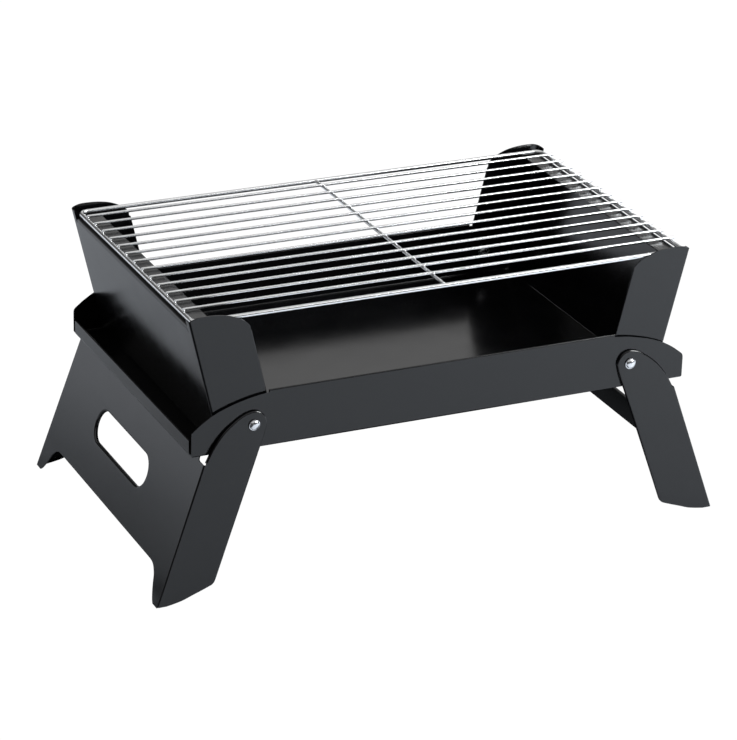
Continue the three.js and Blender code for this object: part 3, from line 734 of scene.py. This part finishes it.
world = bpy.data.worlds.new("studio")
bpy.context.scene.world = world
world.use_nodes = True
nt = world.node_tree
for n in list(nt.nodes): nt.nodes.remove(n)
out = nt.nodes.new("ShaderNodeOutputWorld")
bg = nt.nodes.new("ShaderNodeBackground")
nt.links.new(bg.outputs[0], out.inputs[0])
co = nt.nodes.new("ShaderNodeTexCoord")
sp = nt.nodes.new("ShaderNodeSeparateXYZ")
nt.links.new(co.outputs["Generated"], sp.inputs[0])
r = ramp(nt, sp.outputs["Z"], [(0.0, g(0.10)), (0.5, g(0.05)), (0.68, g(0.60)), (1.0, g(0.68))])
back_ = node(nt, "ShaderNodeMapRange", interpolation_type="SMOOTHSTEP")
back_.inputs["From Min"].default_value = 0.0; back_.inputs["From Max"].default_value = 0.5
back_.inputs["To Min"].default_value = 0.0; back_.inputs["To Max"].default_value = 0.4
nt.links.new(sp.outputs["Y"], back_.inputs["Value"])
low = ramp(nt, sp.outputs["Z"], [(0.0, g(1.0)), (0.05, g(0.6)), (0.12, g(0.0))])
mul = node(nt, "ShaderNodeMath", operation="MULTIPLY")
nt.links.new(back_.outputs["Result"], mul.inputs[0]); nt.links.new(low.outputs["Color"], mul.inputs[1])
add = node(nt, "ShaderNodeMath", operation="ADD")
nt.links.new(r.outputs["Color"], add.inputs[0]); nt.links.new(mul.outputs[0], add.inputs[1])
nt.links.new(add.outputs[0], bg.inputs["Color"])
bg.inputs["Strength"].default_value = 1.0

def area_light(name, loc, aim, size, radiance, color=(1, 1, 1)):
    l = bpy.data.lights.new(name, "AREA")
    l.shape = "RECTANGLE"; l.size, l.size_y = size
    l.energy = radiance * math.pi * size[0] * size[1]
    l.color = color
    o = bpy.data.objects.new(name, l)
    bpy.context.scene.collection.objects.link(o)
    o.location = loc
    o.rotation_euler = (Vector(aim) - Vector(loc)).to_track_quat("-Z", "Y").to_euler()
    return o
area_light("key", (1.6, -0.9, 1.5), (0.3, -0.4, 0), (1.1, 1.1), 17.4, (0.97, 0.99, 1.0))
area_light("back_right", (1.15, 2.35, 1.2), (0, 0, 0.15), (1.7, 1.0), 0.66)

bpy.context.scene.view_settings.view_transform = "Standard"
bpy.context.scene.view_settings.look = "None"

AZ, EL, ROLL, DIST, FPX = -24.950, 23.366, 1.441, 2.811708, 3250.05
TARGET = Vector((-0.004689, 0.000868, 0.110659))
a, e, ro = math.radians(AZ), math.radians(EL), math.radians(ROLL)
back = Vector((math.sin(a) * math.cos(e), -math.cos(a) * math.cos(e), math.sin(e)))
right = (-back).cross(Vector((0, 0, 1))).normalized()
up = right.cross(-back).normalized()
r2 = math.cos(ro) * right + math.sin(ro) * up
u2 = -math.sin(ro) * right + math.cos(ro) * up
cam = bpy.data.cameras.new("camera")
cam.sensor_width = 36.0; cam.lens = FPX / 740.0 * 36.0
cam.clip_start = 0.05; cam.clip_end = 60
co_ = bpy.data.objects.new("camera", cam)
bpy.context.scene.collection.objects.link(co_)
loc = TARGET + back * DIST
co_.matrix_world = Matrix(((r2.x, u2.x, back.x, loc.x), (r2.y, u2.y, back.y, loc.y), (r2.z, u2.z, back.z, loc.z), (0, 0, 0, 1)))
bpy.context.scene.camera = co_
